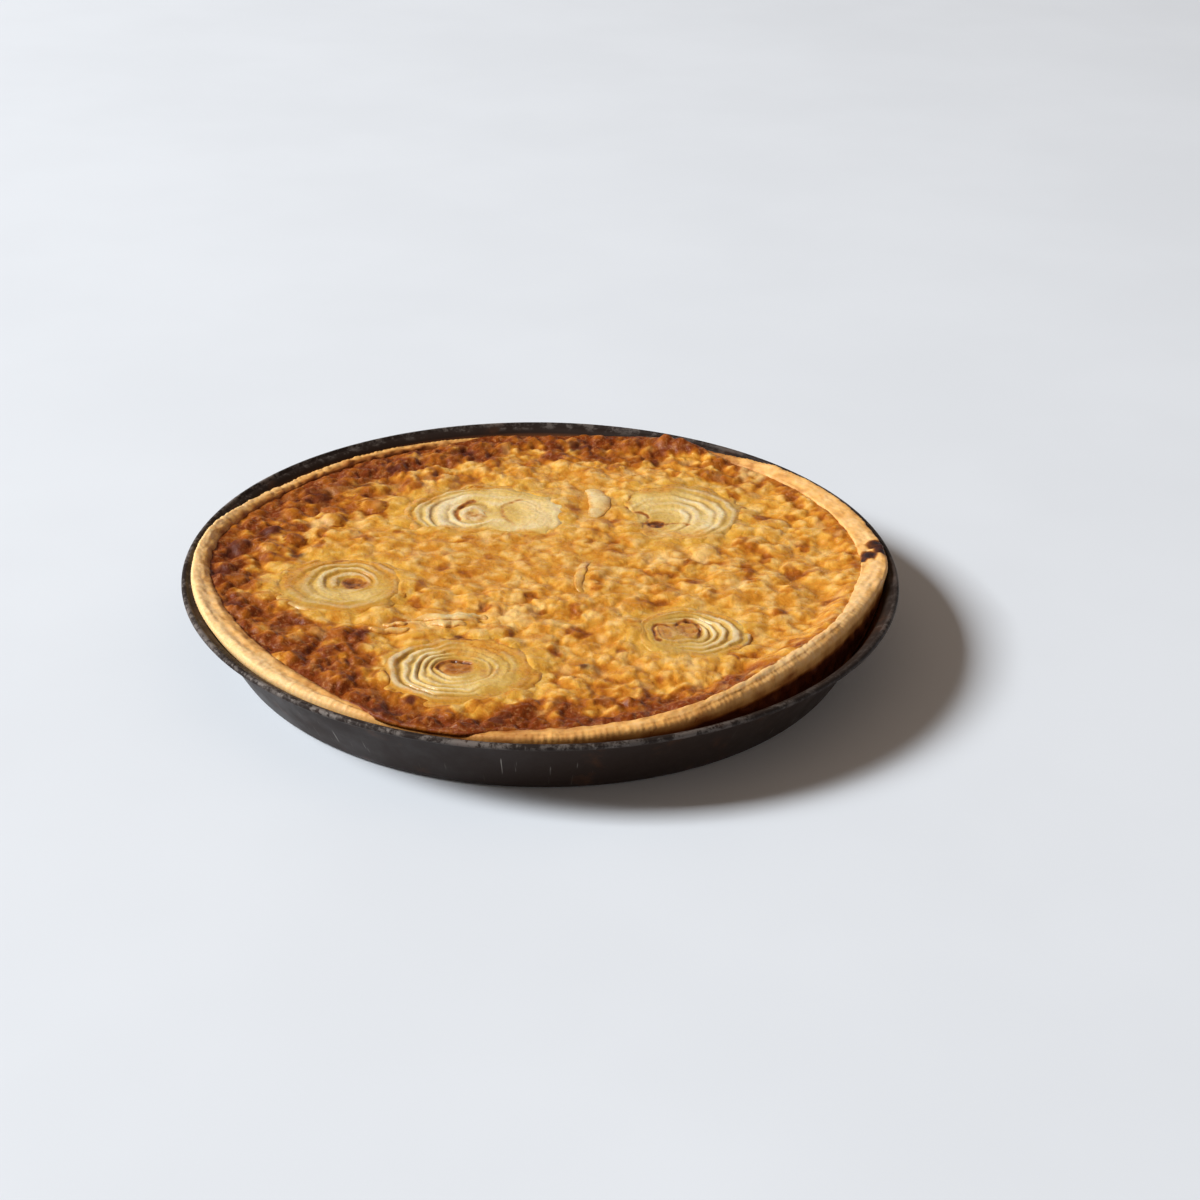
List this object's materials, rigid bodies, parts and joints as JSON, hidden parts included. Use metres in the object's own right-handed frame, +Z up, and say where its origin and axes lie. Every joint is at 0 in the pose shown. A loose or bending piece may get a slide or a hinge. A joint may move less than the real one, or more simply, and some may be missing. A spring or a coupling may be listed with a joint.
{
  "type": "onion quiche in its tin",
  "caption": "Round baked onion quiche: browned custard with onion slices in a pastry case, sitting in its own dark flared steel tin.",
  "frame": {"origin": "centre of the tin's flat underside", "axes": "+Z up, +X to the right and +Y away from the viewer in the reference picture"},
  "size_m": [0.2796, 0.2796, 0.0337],
  "materials": {
    "dark_steel": "dark grey-brown coated steel, satin, with fine scratches and a worn brim",
    "pastry": "dry flaky baked pastry, pale biscuit to golden brown",
    "custard": "glossy lumpy baked egg custard, golden with red-brown patches",
    "onion": "soft baked onion rings, cream yellow, moist, browned at the heart"
  },
  "bodies": {
    "root": {"tin": "dark_steel", "pastry_case": "pastry", "custard_filling": "custard", "onion_slice_back_left": "onion", "onion_slice_back_right": "onion", "onion_slice_left": "onion", "onion_slice_front": "onion", "onion_slice_right": "onion", "onion_layer_back": "onion", "onion_layer_middle": "onion", "onion_layer_left": "onion", "onion_layer_far_left": "onion"}
  },
  "joints": []
}
